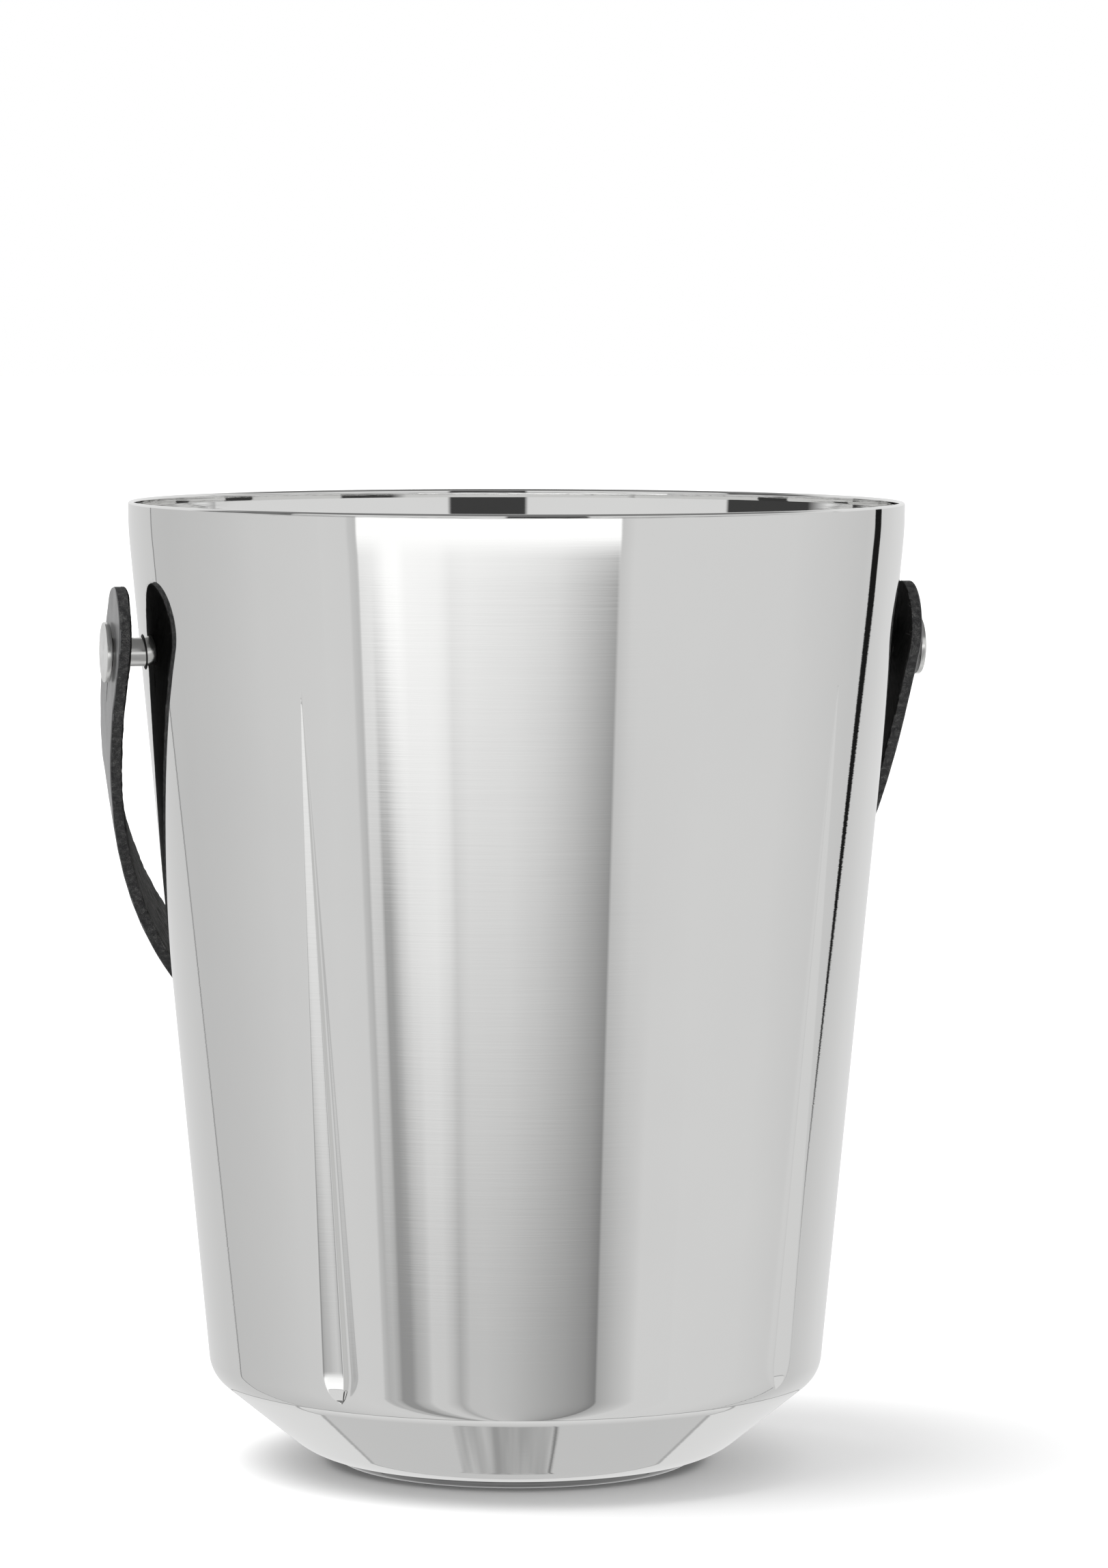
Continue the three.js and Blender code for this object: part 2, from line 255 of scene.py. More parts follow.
FLUTE_COLUMNS = np.array([
    -1.4, -1.25, -1.15, -1.08, -1.04, -1.01, -0.985, -0.95, -0.9, -0.75, -0.5, -0.25, -0.11,
    -0.06, -0.03, 0, 0.03, 0.06, 0.11, 0.25, 0.4, 0.48, 0.52, 0.55, 0.58, 0.62, 0.7, 0.82,
    0.92, 0.99, 1.05, 1.11, 1.18, 1.27, 1.4,
])
WALL_COLUMNS = 30


def shell_grid(profile):
    """The shell's surface from a profile, with the flutes pressed in. The steep flanks of
    two neighbouring flutes face each other across the front and across the back."""
    pitch = 2 * math.pi / FLUTES
    height = profile[:, 1:]
    half = flute_half_width(height)
    half_angle = np.maximum(np.arcsin(half / wall_radius(height)), SMALLEST_HALF_ANGLE)
    step = np.arange(1, WALL_COLUMNS) / WALL_COLUMNS
    eased = step - 0.1 * np.sin(2 * math.pi * step) * (step < 0.5)
    near = half_angle * FLUTE_COLUMNS
    end = near[:, -1:]
    right = end + (pitch / 2 - end) * eased
    left = -right[:, ::-1]
    pressed = half * flute_section(FLUTE_COLUMNS)
    plain = np.zeros_like(right)
    middle = np.full_like(end, -pitch / 2)
    angle = np.hstack([middle, left, near, right])
    depth = np.hstack([plain[:, :1], plain, pressed, plain])
    mirrored_angle = np.hstack([middle, -angle[:, :0:-1]])
    mirrored_depth = np.hstack([plain[:, :1], depth[:, :0:-1]])
    angles = []
    depths = []
    for flute in range(FLUTES):
        facing = flute % 2 == 0
        angles.append((angle if facing else mirrored_angle) + (flute + 0.5) * pitch)
        depths.append(depth if facing else mirrored_depth)
    angles = np.hstack(angles)
    radius = profile[:, :1] - np.hstack(depths)
    return np.stack([
        radius * np.cos(angles),
        radius * np.sin(angles),
        np.broadcast_to(height, radius.shape),
    ], axis=-1)


# ---- body --------------------------------------------------------------------------------

def base_turn_corner():
    rise = CONE_POINT[1] - BASE_HOLE_HEIGHT + BASE_SLOPE * BASE_HOLE_RADIUS
    radius = (rise - CONE_SLOPE * CONE_POINT[0]) / (BASE_SLOPE - CONE_SLOPE)
    height = BASE_HOLE_HEIGHT + BASE_SLOPE * (radius - BASE_HOLE_RADIUS)
    return (radius, height, BASE_TURN_RADIUS)


def shoulder_corner():
    rise = CONE_POINT[1] + CONE_SLOPE * (WALL_RADIUS_AT_FLOOR - CONE_POINT[0])
    height = rise / (1 - CONE_SLOPE * WALL_TAPER)
    return (wall_radius(height), height, SHOULDER_RADIUS)


def rim_turn_corner():
    height = (RIM_RADIUS - WALL_RADIUS_AT_FLOOR) / WALL_TAPER
    return (RIM_RADIUS, height, RIM_TURN_RADIUS)


def add_rows(profile, heights):
    """Adds rows to a rising profile at given heights, where no row is near already."""
    rows = [tuple(point) for point in profile]
    for height in heights:
        if min(abs(height - row[1]) for row in rows) > 0.2 * MM:
            rows.append((np.interp(height, profile[:, 1], profile[:, 0]), height))
    return np.array(sorted(rows, key=lambda row: row[1]))


def punch(piece, side, radius, snap):
    """Cuts a round hole about the stud's axis through both skins of a mesh."""
    edit = bmesh.new()
    edit.from_mesh(piece.data)

    def offset(point):
        return math.hypot(point.y, point.z - STUD_HEIGHT)

    near = [face for face in edit.faces
            if face.calc_center_median().x * side > 0
            and offset(face.calc_center_median()) < radius]
    bmesh.ops.delete(edit, geom=near, context="FACES")
    loose = [edge for edge in edit.edges if edge.is_boundary]
    corners = {vertex for edge in loose for vertex in edge.verts}
    for vertex in corners:
        scale = radius / offset(vertex.co)
        moved = Vector((
            vertex.co.x,
            vertex.co.y * scale,
            STUD_HEIGHT + (vertex.co.z - STUD_HEIGHT) * scale,
        ))
        vertex.co = snap(vertex.co, moved)
    bmesh.ops.bridge_loops(edit, edges=loose)
    bmesh.ops.recalc_face_normals(edit, faces=edit.faces)
    edit.to_mesh(piece.data)
    edit.free()
    piece.data.shade_smooth()
    piece.data.set_sharp_from_angle(angle=math.radians(40))


def on_wall(before, moved):
    """Keeps a moved point of the wall at its own depth in the wall."""
    depth = wall_radius(before.z) - math.hypot(before.x, before.y)
    reach = wall_radius(moved.z) - depth
    moved.x = math.copysign(math.sqrt(reach ** 2 - moved.y ** 2), before.x)
    return moved


def outer_shell(steel):
    line = rounded_line([
        (BASE_HOLE_RADIUS, BASE_HOLE_HEIGHT, 0),
        base_turn_corner(),
        shoulder_corner(),
        rim_turn_corner(),
        (RIM_RADIUS, HEIGHT - LIP_DEPTH, 0),
    ])
    stud_rows = np.arange(STUD_HEIGHT - 6.5 * MM, STUD_HEIGHT + 7 * MM, 0.9 * MM)
    flute_rows = np.concatenate([
        np.arange(25, 36, 0.45), np.arange(36.5, 42, 1.2), np.arange(44, 184, 2.5),
        np.arange(184, 205.5, 1.4),
    ]) * MM
    shape_rows = np.array([28, 33, 45, 90, 140, 180, 198, 225]) * MM
    skin = add_rows(line, np.concatenate([flute_rows, stud_rows, [225 * MM, 232 * MM]]))
    inside = offset_line(add_rows(line, np.concatenate([shape_rows, stud_rows])), SHEET)[::-1]
    lip = rounded_line([
        (RIM_RADIUS, HEIGHT - LIP_DEPTH, 0),
        (RIM_RADIUS, HEIGHT, LIP_ROUND),
        (RIM_RADIUS - LIP_WIDTH, HEIGHT, LIP_ROUND),
        (RIM_RADIUS - LIP_WIDTH, HEIGHT - LIP_DEPTH, 0),
    ], arc_step=math.radians(9))
    grid = shell_grid(np.vstack([skin[:-1], lip, inside]))
    shell = mesh_object(
        "shell", grid.reshape(-1, 3), turned_faces(grid, True),
        "bucket", "outer_shell", [steel],
    )
    for side in (-1, 1):
        punch(shell, side, SHELL_HOLE_RADIUS, on_wall)
    return shell


def turned_sheet(name, line, columns, steel, node):
    """A sheet of steel turned about Z, from the axis out to its rim."""
    inside = offset_line(line, SHEET)[::-1]
    inside[-1, 0] = 0
    rim = rounded_line([
        (*line[-1], 0), (*inside[0], 0),
    ])
    profile = np.vstack([line, rim[1:-1], inside])
    angles = np.arange(columns) * 2 * math.pi / columns
    grid = ring_grid(profile, angles[None, :])
    return mesh_object(
        name, grid.reshape(-1, 3), turned_faces(grid, False),
        "bucket", node, [steel],
    )


def inner_liner(steel):
    neck = RIM_RADIUS - SHEET - GAP

    def wall_at(height):
        return wall_radius(height) - SHEET - WALL_SPACE

    line = rounded_line([
        (0, LINER_FLOOR, 0),
        (wall_at(LINER_FLOOR), LINER_FLOOR, LINER_CORNER),
        (wall_at(LINER_FLARE_BOTTOM), LINER_FLARE_BOTTOM, LINER_FLARE_ROUND),
        (neck - LINER_NECK_DRAFT, LINER_FLARE_TOP, LINER_FLARE_ROUND),
        (neck, HEIGHT - LIP_DEPTH - GAP, 0),
    ])
    return turned_sheet("liner", refine(line, 8 * MM), 240, steel, "inner_liner")


def base_cap(steel):
    line = rounded_line([
        (0, 0, 0),
        (BASE_CAP_RADIUS, 0, BASE_BEAD_ROUND),
        (BASE_CAP_RADIUS, BASE_BEAD, 0),
        (BASE_FLANGE_RADIUS, BASE_BEAD, 0),
    ], arc_step=math.radians(6))
    return turned_sheet("base", refine(line, 8 * MM), 240, steel, "base_cap")


# ---- studs -------------------------------------------------------------------------------

def turned_on_x(name, profile, side, node, material, columns=96):
    """A closed profile of radius and distance from the bucket's axis, turned about the stud."""
    angles = np.arange(columns) * 2 * math.pi / columns
    radius = profile[:, :1]
    across = radius * np.cos(angles)
    up = radius * np.sin(angles)
    along = np.broadcast_to(side * profile[:, 1:], across.shape)
    grid = np.stack([along, across, STUD_HEIGHT + up], axis=-1)
    return mesh_object(
        name, grid.reshape(-1, 3), turned_faces(grid, False),
        "bucket", node, [material],
    )


def stud(name, side, steel, node):
    profile = rounded_line([
        (0, TAIL_END, 0),
        (TAIL_RADIUS, TAIL_END, 0.3 * MM),
        (TAIL_RADIUS, SHANK_END, 0),
        (SHANK_RADIUS, SHANK_END, 0.2 * MM),
        (SHANK_RADIUS, STUD_FACE - HEAD_THICKNESS, 0.15 * MM),
        (HEAD_RADIUS, STUD_FACE - HEAD_THICKNESS, HEAD_CHAMFER),
        (HEAD_RADIUS, STUD_FACE, HEAD_CHAMFER),
        (0, STUD_FACE, 0),
    ], arc_step=math.radians(15))
    return turned_on_x(name, refine(profile, 1 * MM), side, node, steel)


def stud_bush(name, side, rubber, node):
    """A ring whose outer face follows the bucket's wall."""
    outer = BUSH_RADIUS
    bore = SHANK_RADIUS + 0.05 * MM
    profile = rounded_line([
        (bore, BUSH_INNER_END, 0),
        (SHELL_HOLE_RADIUS - 0.1 * MM, BUSH_INNER_END, 0),
        (SHELL_HOLE_RADIUS - 0.1 * MM, BUSH_INNER_END + SHEET, 0),
        (outer, BUSH_INNER_END + SHEET, 0),
        (outer, RIM_RADIUS, 0.2 * MM),
        (bore, RIM_RADIUS, 0),
    ], arc_step=math.radians(20))
    ring = turned_on_x(name, profile, side, node, rubber)
    for vertex in ring.data.vertices:
        wall = math.sqrt(wall_radius(vertex.co.z) ** 2 - vertex.co.y ** 2)
        depth = RIM_RADIUS - abs(vertex.co.x)
        level = wall + BUSH_PROUD - depth
        if depth > 1 * MM:
            level = wall - SHEET - 0.1 * MM
        vertex.co.x = side * level
    return ring


# ---- strap -------------------------------------------------------------------------------

def strap_line():
    """The middle of the strap's thickness, in the plane of the loop, left end to right end."""
    half = {}
    for side, sign in (("left", -1), ("right", 1)):
        shape = STRAP_SIDES[side]
        turn = math.pi / 2 * np.linspace(0, 1, 400) ** 1.3
        x = sign * shape["span"] * np.cos(turn) ** (2 / shape["across"])
        y = -STRAP_DROP * np.sin(turn) ** (2 / shape["down"])
        end = [[sign * shape["span"], STRAP_END]]
        half[side] = np.vstack([end, np.stack([x, y], axis=1)])
    return np.vstack([half["left"], half["right"][-2::-1]])


class Bend:
    """Maps a flat strap, with its length along u from the left tip, on to its loop."""

    def __init__(self):
        line = strap_line()
        steps = np.linalg.norm(np.diff(line, axis=0), axis=1)
        self.along = np.concatenate([[0], np.cumsum(steps)])
        self.length = self.along[-1]
        even = np.linspace(0, self.length, 900)
        self.even = even
        self.x = np.interp(even, self.along, line[:, 0])
        self.y = np.interp(even, self.along, line[:, 1])
        dx = np.gradient(self.x, even)
        dy = np.gradient(self.y, even)
        size = np.hypot(dx, dy)
        self.nx = -dy / size
        self.ny = dx / size

    def __call__(self, u, across, outward):
        """Points at u along the strap, across its width and towards its flesh side."""
        x = np.interp(u, self.even, self.x) + outward * np.interp(u, self.even, self.nx)
        y = np.interp(u, self.even, self.y) + outward * np.interp(u, self.even, self.ny)
        return np.stack([x, y, np.broadcast_to(across, x.shape)], axis=-1)


STRAP_LENGTH = float(Bend().length)
EDGE_ROUND = 0.45 * MM
RING_DEPTHS = np.array([
    0, 0.06, 0.16, 0.3, 0.45, 0.8, 1.4, 2.3, 3.5, 5, 6.4, 7.8, 9, 9.9, 10.5, 10.9, 11.15, 11.3, 11.4,
]) * MM
WALL_LEVELS = np.array([0.8, 0.4, 0, -0.4, -0.8])


def smooth_noise(points, size, seed):
    """Smooth noise of about a given feature size, from -1 to 1, at points."""
    waves = np.random.default_rng(seed)
    total = np.zeros(points.shape[:-1])
    count = 24
    for _ in range(count):
        direction = waves.normal(size=3)
        direction /= np.linalg.norm(direction)
        wavelength = size * waves.uniform(1.2, 3)
        phase = waves.uniform(0, 2 * math.pi)
        total += np.sin(points @ direction * 2 * math.pi / wavelength + phase)
    return total / math.sqrt(count)


def strap_outline(length):
    """Perimeter of the flat strap: a centre line position, a side and a direction."""
    radius = STRAP_WIDTH / 2
    straight = np.arange(radius, length - radius, 1.2 * MM)
    straight = np.linspace(radius, length - radius, len(straight))
    turn = np.linspace(0, math.pi, 34)[1:-1]
    up = [(u, 1.0, 0.0) for u in straight]
    right = [(length - radius, math.cos(a), math.sin(a)) for a in turn]
    down = [(u, -1.0, 0.0) for u in straight[::-1]]
    left = [(radius, -math.cos(a), -math.sin(a)) for a in turn]
    return np.array(up + right + down + left)


def strap_place(points):
    """Moves points of the loop's own plane to where the strap hangs."""
    turn = Matrix.Rotation(math.pi / 2 + STRAP_LEAN, 3, "X")
    return points @ np.array(turn).T + np.array((0, 0, STUD_HEIGHT))


def strap(grain, flesh, edge):
    bend = Bend()
    outline = strap_outline(bend.length)
    centre, side, end = outline.T
    radius = STRAP_WIDTH / 2
    half = STRAP_THICKNESS / 2

    rows = []
    for face in (-1, 1):
        depths = RING_DEPTHS[::-1] if face == -1 else RING_DEPTHS
        for depth in depths:
            inset = max(EDGE_ROUND - depth, 0)
            level = half - EDGE_ROUND + math.sqrt(EDGE_ROUND ** 2 - inset ** 2)
            rows.append((depth, face * level, "face"))
        if face == -1:
            for level in WALL_LEVELS:
                rows.append((0, -level * (half - EDGE_ROUND), "edge"))

    layers = []
    for depth, level, _ in rows:
        reach = radius - depth
        u = centre + end * reach
        across = side * reach
        layers.append(np.stack([u, across, np.full_like(u, level)], axis=-1))
    flat = np.array(layers)
    flat = shape_leather(flat, bend.length)
    points = strap_place(bend(flat[..., 0], flat[..., 1], flat[..., 2]))
    faces = turned_faces(points, False)
    piece = mesh_object(
        "leather_strap", points.reshape(-1, 3), faces, "handle", "strap",
        [grain, flesh, edge],
    )
    paint_strap(piece, bend)
    for hole in (-1, 1):
        punch(piece, hole, STRAP_HOLE_RADIUS, lambda before, moved: moved)
    return piece


def shape_leather(flat, length):
    """Swells, dents and roughens the flat strap, in its own u, across and thickness."""
    u, across, level = flat[..., 0], flat[..., 1], flat[..., 2]
    on_flesh = np.clip(level / (STRAP_THICKNESS / 2), 0, 1) ** 2
    on_grain = np.clip(-level / (STRAP_THICKNESS / 2), 0, 1) ** 2
    for stud_at, down in ((STRAP_END, 1), (length - STRAP_END, -1)):
        along = (u - stud_at) * down
        reach = np.hypot(along, across)
        swell = 1.5 * MM * np.exp(-((reach - 2 * MM).clip(0) / (6 * MM)) ** 2)
        level = level + on_flesh * swell * (1 - 0.12 * np.tanh(along / (3 * MM)))
        dent = 0.25 * MM * np.exp(-((reach / HEAD_RADIUS) ** 6))
        level = level + on_grain * dent
        slit = ((along > 0) & (along < STRAP_HOLE_RADIUS + STRAP_SLIT)).astype(float)
        taper = np.clip((STRAP_HOLE_RADIUS + STRAP_SLIT - along) / (4 * MM), 0, 1)
        groove = np.exp(-(across / (0.28 * MM)) ** 2) * slit * taper
        level = level + on_grain * groove * 1.1 * MM - on_flesh * groove * 0.8 * MM
    coarse = smooth_noise(np.stack([u, across, level * 2], -1), 6 * MM, 11)
    fine = smooth_noise(np.stack([u, across, level], -1), 0.9 * MM, 12)
    level = level + 0.05 * MM * coarse + on_flesh * 0.06 * MM * fine
    edge = np.exp(-((STRAP_WIDTH / 2 - np.abs(across)) / (0.5 * MM)).clip(0))
    across = across + np.sign(across) * edge * (0.05 * MM * fine + 0.12 * MM * coarse - 0.1 * MM)
    return np.stack([u, across, level], axis=-1)


def paint_strap(piece, bend):
    """Gives each face its leather and its place along and across the strap."""
    mesh = piece.data
    turn = np.array(Matrix.Rotation(math.pi / 2 + STRAP_LEAN, 3, "X"))
    co = np.array([v.co for v in mesh.vertices])
    local = (co - np.array((0, 0, STUD_HEIGHT))) @ turn
    distance = (local[:, None, 0] - bend.x[None, :]) ** 2 + (local[:, None, 1] - bend.y[None, :]) ** 2
    nearest = distance.argmin(axis=1)
    outward = ((local[:, 0] - bend.x[nearest]) * bend.nx[nearest]
               + (local[:, 1] - bend.y[nearest]) * bend.ny[nearest])
    u = bend.even[nearest]
    uv = mesh.uv_layers.new(name="strap")
    loops = np.zeros(len(mesh.loops), int)
    mesh.loops.foreach_get("vertex_index", loops)
    uv.data.foreach_set("uv", np.stack([u[loops], local[loops, 2]], axis=1).ravel())
    half = STRAP_THICKNESS / 2
    for face in mesh.polygons:
        level = outward[list(face.vertices)].mean()
        if level < -half + 0.3 * MM:
            face.material_index = 0
        elif level > half - 0.35 * MM:
            face.material_index = 1
        else:
            face.material_index = 2


def strap_fibres(material):
    """Loose ends of fibre along the flesh edges and the cut ends."""
    bend = Bend()
    outline = strap_outline(bend.length)
    half = STRAP_THICKNESS / 2
    points = []
    faces = []
    for index in random.integers(0, len(outline), 1300):
        centre, side, end = outline[index]
        at_end = abs(end) > 0
        if not at_end and random.random() < 0.35:
            continue
        level = half - abs(random.normal(0, 0.6 * MM))
        reach = STRAP_WIDTH / 2 - 0.1 * MM
        size = random.uniform(0.25, 0.75) * MM * (1.9 if at_end else 1)
        root = np.array((centre + end * reach, side * reach, level))
        lean = random.normal(0, 0.55, 3)
        direction = np.array((end, side, 0.35)) + lean
        direction /= np.linalg.norm(direction)
        bow = random.normal(0, 0.35, 3)
        thick = random.uniform(0.03, 0.06) * MM
        first = len(points)
        for step in range(4):
            along = step / 3
            spot = root + (direction * along + bow * along ** 2) * size
            width = thick * (1 - 0.8 * along)
            for corner in range(3):
                angle = corner * 2 * math.pi / 3
                points.append(spot + width * np.array((math.cos(angle), math.sin(angle), 0.5)))
        for step in range(3):
            for corner in range(3):
                a = first + step * 3 + corner
                b = first + step * 3 + (corner + 1) % 3
                faces.append((a, b, b + 3, a + 3))
        faces.append((first, first + 2, first + 1))
        faces.append((first + 9, first + 10, first + 11))
    flat = np.array(points)
    placed = strap_place(bend(flat[:, 0], flat[:, 1], flat[:, 2]))
    mesh = bpy.data.meshes.new("strap_fibres")
    mesh.from_pydata(placed, [], faces)
    mesh.materials.append(material)
    piece = bpy.data.objects.new("strap_fibres", mesh)
    bpy.context.scene.collection.objects.link(piece)
    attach(piece, "handle")
    return piece


# ---- materials ---------------------------------------------------------------------------

def put(tree, kind, inputs=None, **settings):
    """Adds a node, sets its fields, and links or sets its inputs."""
    node = tree.nodes.new(kind)
    for key, value in settings.items():
        setattr(node, key, value)
    for key, value in (inputs or {}).items():
        if isinstance(value, bpy.types.NodeSocket):
            tree.links.new(value, node.inputs[key])
        else:
            node.inputs[key].default_value = value
    return node


def maths(tree, operation, *values):
    return put(tree, "ShaderNodeMath", dict(enumerate(values)), operation=operation).outputs[0]


def noise(tree, vector, scale, detail=3.0, roughness=0.5):
    inputs = {"Vector": vector, "Scale": scale, "Detail": detail, "Roughness": roughness}
    return put(tree, "ShaderNodeTexNoise", inputs).outputs["Fac"]


def stretched(tree, vector, scale):
    return put(tree, "ShaderNodeMapping", {"Vector": vector, "Scale": scale}).outputs[0]


def fit(tree, value, low, high, new_low, new_high):
    inputs = {0: value, 1: low, 2: high, 3: new_low, 4: new_high}
    return put(tree, "ShaderNodeMapRange", inputs).outputs[0]


def mix(tree, factor, first, second):
    inputs = {"Factor": factor, "A": first, "B": second}
    node = tree.nodes.new("ShaderNodeMix")
    node.data_type = "RGBA"
    for socket in node.inputs:
        if socket.enabled and socket.name in inputs:
            value = inputs[socket.name]
            if isinstance(value, bpy.types.NodeSocket):
                tree.links.new(value, socket)
            else:
                socket.default_value = value
    return next(s for s in node.outputs if s.enabled)


def bump(tree, height, distance, strength=1.0, normal=None):
    inputs = {"Height": height, "Distance": distance, "Strength": strength}
    if normal is not None:
        inputs["Normal"] = normal
    return put(tree, "ShaderNodeBump", inputs).outputs[0]


def new_material(name):
    material = bpy.data.materials.new(name)
    material.use_nodes = True
    tree = material.node_tree
    shader = tree.nodes["Principled BSDF"]
    place = tree.nodes.new("ShaderNodeTexCoord").outputs["Object"]
    return material, tree, shader, place


def polished_steel(name, light, dark):
    material, tree, shader, place = new_material(name)
    fine_hoops = noise(tree, stretched(tree, place, (40, 40, 3500)), 1.0, 4)
    hoops = noise(tree, stretched(tree, place, (25, 25, 1100)), 1.0, 4, 0.6)
    haze = noise(tree, place, 22.0, 5, 0.6)
    scratches = noise(tree, stretched(tree, place, (900, 900, 60)), 1.0, 2)
    scratch = fit(tree, scratches, 0.68, 0.76, 0, 1)
    rough = fit(tree, haze, 0.35, 0.7, 0.015, 0.035)
    rough = maths(tree, "ADD", rough, maths(tree, "MULTIPLY", scratch, 0.02))
    tint = mix(tree, haze, light, dark)
    tree.links.new(tint, shader.inputs["Base Color"])
    tree.links.new(rough, shader.inputs["Roughness"])
    brushed = bump(tree, hoops, 0.0035 * MM, 1.0, bump(tree, fine_hoops, 0.0013 * MM))
    tree.links.new(brushed, shader.inputs["Normal"])
    shader.inputs["Metallic"].default_value = 1
    return material


def turned_steel():
    material, tree, shader, place = new_material("turned_steel")
    parts = put(tree, "ShaderNodeSeparateXYZ", {0: place}).outputs
    up = maths(tree, "SUBTRACT", parts[2], STUD_HEIGHT)
    radius = maths(tree, "SQRT", maths(
        tree, "ADD", maths(tree, "MULTIPLY", parts[1], parts[1]), maths(tree, "MULTIPLY", up, up)))
    inputs = {0: maths(tree, "MULTIPLY", parts[0], 7000.0),
              1: maths(tree, "MULTIPLY", radius, 7000.0)}
    ring_place = put(tree, "ShaderNodeCombineXYZ", inputs).outputs[0]
    rings = noise(tree, ring_place, 1.0, 3)
    wear = noise(tree, place, 300.0, 4)
    tint = mix(tree, rings, (0.70, 0.70, 0.69, 1), (0.80, 0.80, 0.785, 1))
    tree.links.new(tint, shader.inputs["Base Color"])
    tree.links.new(fit(tree, wear, 0.3, 0.7, 0.16, 0.26), shader.inputs["Roughness"])
    tree.links.new(bump(tree, rings, 0.0012 * MM), shader.inputs["Normal"])
    shader.inputs["Metallic"].default_value = 1
    shader.inputs["Anisotropic"].default_value = 0.5
    tangent = tree.nodes.new("ShaderNodeTangent")
    tangent.direction_type = "RADIAL"
    tangent.axis = "X"
    tree.links.new(tangent.outputs[0], shader.inputs["Tangent"])
    return material


def black_rubber():
    material, tree, shader, place = new_material("black_rubber")
    grain = noise(tree, place, 2500.0, 2)
    tint = mix(tree, grain, (0.008, 0.008, 0.008, 1), (0.02, 0.02, 0.02, 1))
    tree.links.new(tint, shader.inputs["Base Color"])
    tree.links.new(fit(tree, grain, 0.3, 0.7, 0.45, 0.65), shader.inputs["Roughness"])
    tree.links.new(bump(tree, grain, 0.02 * MM), shader.inputs["Normal"])
    return material


def leather_grain():
    material, tree, shader, place = new_material("leather_grain")
    uv = put(tree, "ShaderNodeUVMap", uv_map="strap").outputs[0]
    streaks = noise(tree, stretched(tree, uv, (60, 1500, 1)), 1.0, 4)
    pores = noise(tree, place, 2600.0, 3, 0.6)
    cloud = noise(tree, place, 90.0, 4)
    tone = mix(tree, streaks, (0.020, 0.020, 0.022, 1), (0.070, 0.070, 0.072, 1))
    tone = mix(tree, fit(tree, cloud, 0.35, 0.7, 0, 0.5), tone, (0.03, 0.03, 0.032, 1))
    tree.links.new(tone, shader.inputs["Base Color"])
    rough = fit(tree, maths(tree, "ADD", streaks, pores), 0.7, 1.3, 0.30, 0.48)
    tree.links.new(rough, shader.inputs["Roughness"])
    height = maths(tree, "ADD", maths(tree, "MULTIPLY", pores, 0.5), streaks)
    tree.links.new(bump(tree, height, 0.08 * MM), shader.inputs["Normal"])
    shader.inputs["Specular IOR Level"].default_value = 0.75
    shader.inputs["Coat Weight"].default_value = 0.7
    shader.inputs["Coat Roughness"].default_value = 0.3
    return material


def leather_flesh():
    """Rough side: streaked along the strap, and painted black near the studs as painted shade."""
    material, tree, shader, place = new_material("leather_flesh")
    uv = put(tree, "ShaderNodeUVMap", uv_map="strap").outputs[0]
    along = put(tree, "ShaderNodeSeparateXYZ", {0: uv}).outputs[0]
    from_end = maths(tree, "MINIMUM", along, maths(tree, "SUBTRACT", STRAP_LENGTH, along))
    # Painted shade: within 60 mm of either end the flesh side is painted near black, fading out by 95
    # mm, for the shade on the flesh side near the studs.
    beyond_painted_shade = fit(tree, from_end, 60 * MM, 95 * MM, 0, 1)
    streaks = noise(tree, stretched(tree, uv, (160, 1300, 1)), 1.0, 5, 0.65)
    fuzz = noise(tree, place, 3800.0, 4, 0.7)
    mixed = maths(tree, "ADD", maths(tree, "MULTIPLY", fuzz, 0.5),
                  maths(tree, "MULTIPLY", streaks, 0.5))
    speck = fit(tree, mixed, 0.42, 0.64, 0, 1)
    bare = mix(tree, speck, (0.016, 0.016, 0.016, 1), (0.15, 0.15, 0.147, 1))
    painted_shade_near_studs = mix(tree, speck, (0.003, 0.003, 0.003, 1), (0.012, 0.012, 0.012, 1))
    tree.links.new(mix(tree, beyond_painted_shade, painted_shade_near_studs, bare), shader.inputs["Base Color"])
    tree.links.new(fit(tree, fuzz, 0.3, 0.7, 0.75, 0.95), shader.inputs["Roughness"])
    tree.links.new(bump(tree, mixed, 0.2 * MM), shader.inputs["Normal"])
    shader.inputs["Specular IOR Level"].default_value = 0.12
    return material


def leather_edge():
    """Cut edge: dark and matt, with fine paler ends of fibre."""
    material, tree, shader, place = new_material("leather_edge")
    fuzz = noise(tree, place, 6500.0, 4, 0.7)
    clumps = noise(tree, place, 700.0, 3, 0.6)
    mixed = maths(tree, "ADD", maths(tree, "MULTIPLY", fuzz, 0.75),
                  maths(tree, "MULTIPLY", clumps, 0.25))
    speck = fit(tree, mixed, 0.5, 0.68, 0, 1)
    tone = mix(tree, speck, (0.016, 0.016, 0.017, 1), (0.17, 0.17, 0.165, 1))
    tree.links.new(tone, shader.inputs["Base Color"])
    tree.links.new(fit(tree, fuzz, 0.3, 0.7, 0.7, 0.9), shader.inputs["Roughness"])
    tree.links.new(bump(tree, mixed, 0.16 * MM), shader.inputs["Normal"])
    shader.inputs["Specular IOR Level"].default_value = 0.25
    return material


def floor_material():
    material, tree, shader, place = new_material("pale_floor")
    shader.inputs["Base Color"].default_value = (0.9, 0.9, 0.9, 1)
    shader.inputs["Roughness"].default_value = 0.7
    return material


# ---- studio ------------------------------------------------------------------------------

CAMERA_DISTANCE = 1674.8 * MM
CAMERA_HEIGHT = 304 * MM
CAMERA_AZIMUTH = math.radians(11.7)
CAMERA_PITCH = math.radians(4.376)
CAMERA_YAW = math.radians(0.334)
CAMERA_ROLL = math.radians(0.104)
CAMERA_LENS = 149.17

SUN_AZIMUTH = -85
SUN_ELEVATION = 66
SUN_ANGLE = 50
SUN_STRENGTH = 2.4


